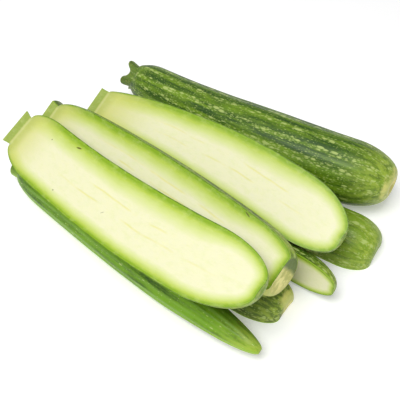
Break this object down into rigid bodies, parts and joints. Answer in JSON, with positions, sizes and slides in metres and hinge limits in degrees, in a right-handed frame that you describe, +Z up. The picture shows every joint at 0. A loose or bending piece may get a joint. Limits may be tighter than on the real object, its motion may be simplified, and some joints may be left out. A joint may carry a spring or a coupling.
{
  "type": "pile of courgettes",
  "caption": "Pile of courgettes: a whole one with a ragged stem lies behind lengthwise halves that lean and rest on each other, some cut face up, some cut face down.",
  "frame": {"origin": "bottom centre of the pile's box, on the surface that it rests on", "axes": "+X along the courgettes, from stem ends to blossom ends; +Y towards the whole one at the back; +Z up"},
  "size_m": [0.227, 0.1714, 0.0592],
  "materials": {
    "courgette_skin": "smooth waxy green skin with pale flecks along faint ribs",
    "courgette_flesh": "moist cream flesh with a green rim at the skin"
  },
  "bodies": {
    "root": {"front_half": "courgette_flesh", "middle_half": "courgette_flesh", "back_half": "courgette_flesh", "whole_courgette": "courgette_skin", "front_under_half": "courgette_skin", "middle_under_half": "courgette_skin", "side_half": "courgette_skin", "back_under_half": "courgette_skin"}
  },
  "joints": []
}
